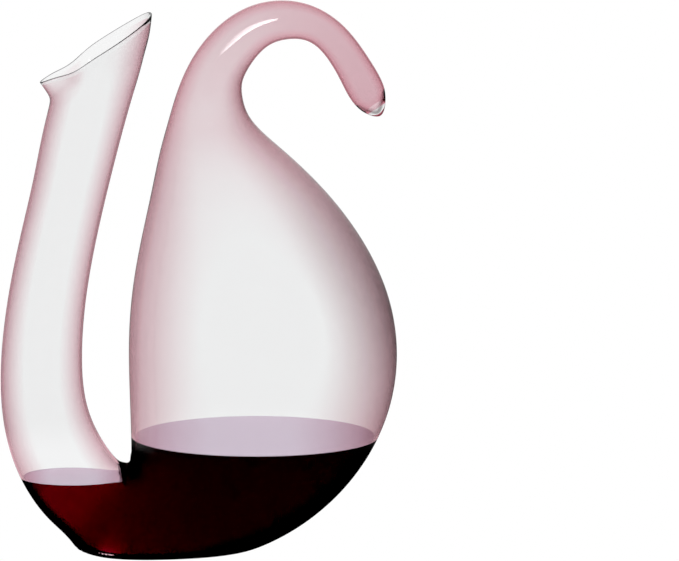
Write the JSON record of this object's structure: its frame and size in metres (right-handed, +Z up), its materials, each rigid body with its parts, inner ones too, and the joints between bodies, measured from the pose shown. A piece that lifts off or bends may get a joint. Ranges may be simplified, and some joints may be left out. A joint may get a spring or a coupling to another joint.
{
  "type": "wine decanter",
  "caption": "Hand-blown glass decanter: a slanted tubular neck bends under a pear-shaped bulb whose top is drawn into a hooked tail, on a flat oval foot, with red wine inside.",
  "frame": {"origin": "centre of the foot's flat underside, on the table", "axes": "+Z up; +X from the neck side to the bulb side, which is also the way the tail's tip points; +Y away from a viewer who sees the neck on the left; the object is the same on both sides of Y = 0"},
  "size_m": [0.2251, 0.1482, 0.3154],
  "materials": {
    "clear_crystal": "polished clear crystal",
    "rose_crystal": "polished pale rose crystal",
    "red_wine": "still dark red liquid"
  },
  "bodies": {
    "root": {"neck_casing": "clear_crystal", "neck_rose_layer": "rose_crystal", "bulb_casing": "clear_crystal", "bulb_rose_layer": "rose_crystal", "tail_casing": "clear_crystal", "tail_rose_layer": "rose_crystal", "tail_bead": "clear_crystal", "foot_pad": "clear_crystal", "wine": "red_wine"}
  },
  "joints": []
}
